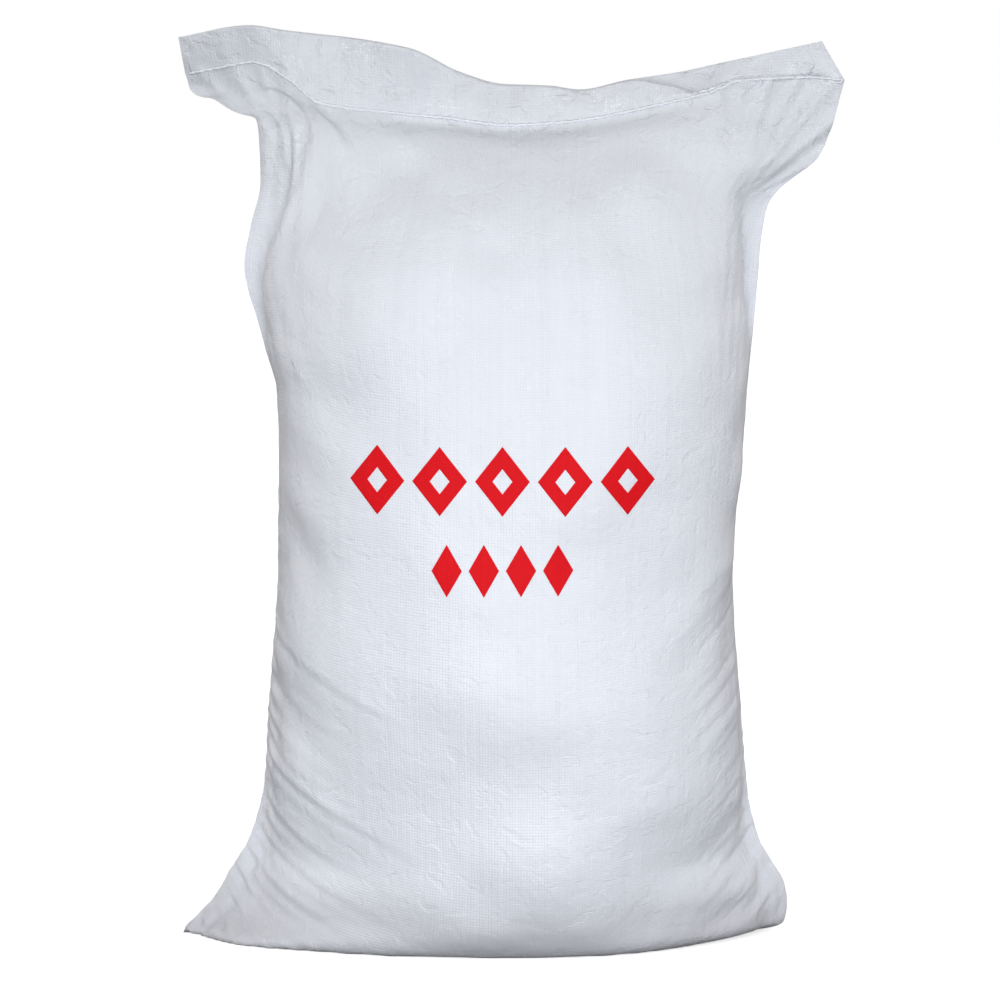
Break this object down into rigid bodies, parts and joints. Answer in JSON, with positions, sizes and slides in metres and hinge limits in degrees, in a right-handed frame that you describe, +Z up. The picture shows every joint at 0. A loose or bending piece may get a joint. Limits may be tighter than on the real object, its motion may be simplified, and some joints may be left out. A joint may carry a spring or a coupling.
{
  "type": "bag of sugar",
  "caption": "Upright woven plastic sack of sugar with a sewn mouth, a loose flap above the stitching and pulled-out corners.",
  "frame": {"origin": "on the floor, under the middle of the sack's overall box", "axes": "+Z up, -Y out of the printed face, +X along the sewn mouth towards the lower ear, which is on the right when the print is looked at"},
  "size_m": [0.562, 0.312, 0.772],
  "materials": {
    "woven_sack": "cool white woven polypropylene tape, slightly glossy, with fine vertical streaks",
    "sewing_thread": "white spun thread, matt",
    "print_ink": "flat red ink on the weave"
  },
  "bodies": {
    "root": {"sack": "woven_sack", "closing_thread_front": "sewing_thread", "closing_thread_back": "sewing_thread", "print_upper_1": "print_ink", "print_upper_2": "print_ink", "print_upper_3": "print_ink", "print_upper_4": "print_ink", "print_upper_5": "print_ink", "print_lower_1": "print_ink", "print_lower_2": "print_ink", "print_lower_3": "print_ink", "print_lower_4": "print_ink"}
  },
  "joints": []
}
